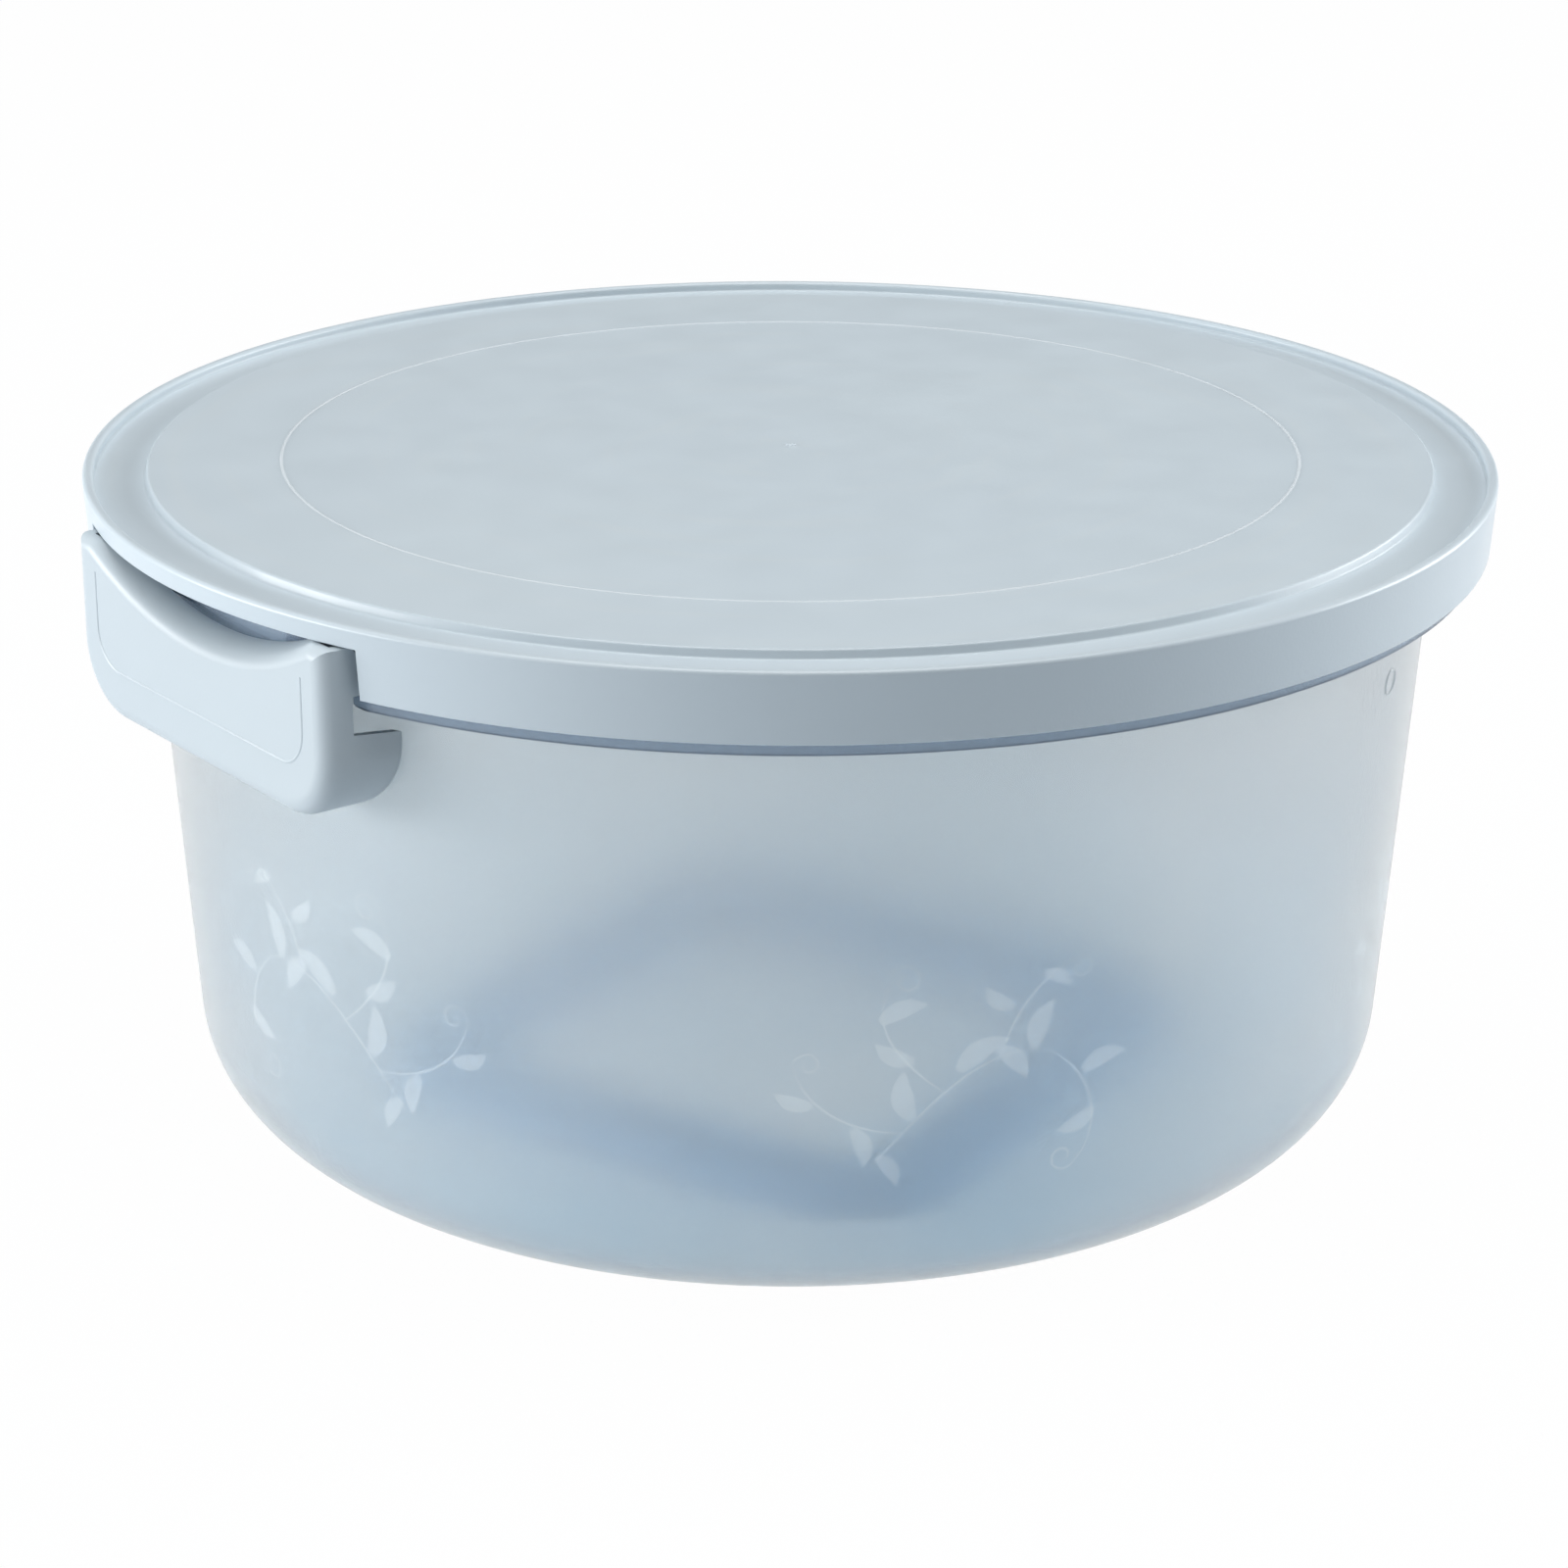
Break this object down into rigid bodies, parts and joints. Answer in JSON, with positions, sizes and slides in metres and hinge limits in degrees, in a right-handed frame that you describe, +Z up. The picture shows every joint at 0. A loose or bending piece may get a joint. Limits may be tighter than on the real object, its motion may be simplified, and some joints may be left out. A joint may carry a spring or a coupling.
{
  "type": "cake carrier",
  "caption": "Round deep food carrier: frosted tapered tub, flat press-on lid with a raised platform, fold-out clip handles at opposite sides, and a loose rounded-square ring lying inside.",
  "frame": {"origin": "centre of the tub's flat base, on the plane that it stands on", "axes": "+Z up along the tub's axis; the clip handles are on -X (left) and +X (right); +Y is along each handle's hinge axis"},
  "size_m": [0.31, 0.31, 0.1488],
  "materials": {
    "frosted_tub": "frosted translucent moulded plastic, fine satin outside, faint pale printed scroll band",
    "lid_blue_grey": "satin opaque moulded plastic",
    "clip_pale_blue": "satin opaque moulded plastic",
    "ring_blue": "satin moulded plastic"
  },
  "bodies": {
    "tub": {"tub": "frosted_tub"},
    "lid": {"lid": "lid_blue_grey"},
    "clip_left": {"clip_handle_left": "clip_pale_blue"},
    "clip_right": {"clip_handle_right": "clip_pale_blue"},
    "ring": {"lift_out_ring": "ring_blue"}
  },
  "joints": [
    {"name": "lid_lift", "type": "slide", "parent": "tub", "child": "lid", "axis": [0, 0, 1], "range_m": [0, 0.2]},
    {"name": "clip_left_swing", "type": "hinge", "parent": "tub", "child": "clip_left", "pos_m": [-0.1481, 0, 0.14], "axis": [0, 1, 0], "range_deg": [0, 90]},
    {"name": "clip_right_swing", "type": "hinge", "parent": "tub", "child": "clip_right", "pos_m": [0.1481, 0, 0.14], "axis": [0, -1, 0], "range_deg": [0, 90]},
    {"name": "ring_lift", "type": "slide", "parent": "tub", "child": "ring", "axis": [0, 0, 1], "range_m": [0, 0.1]}
  ]
}
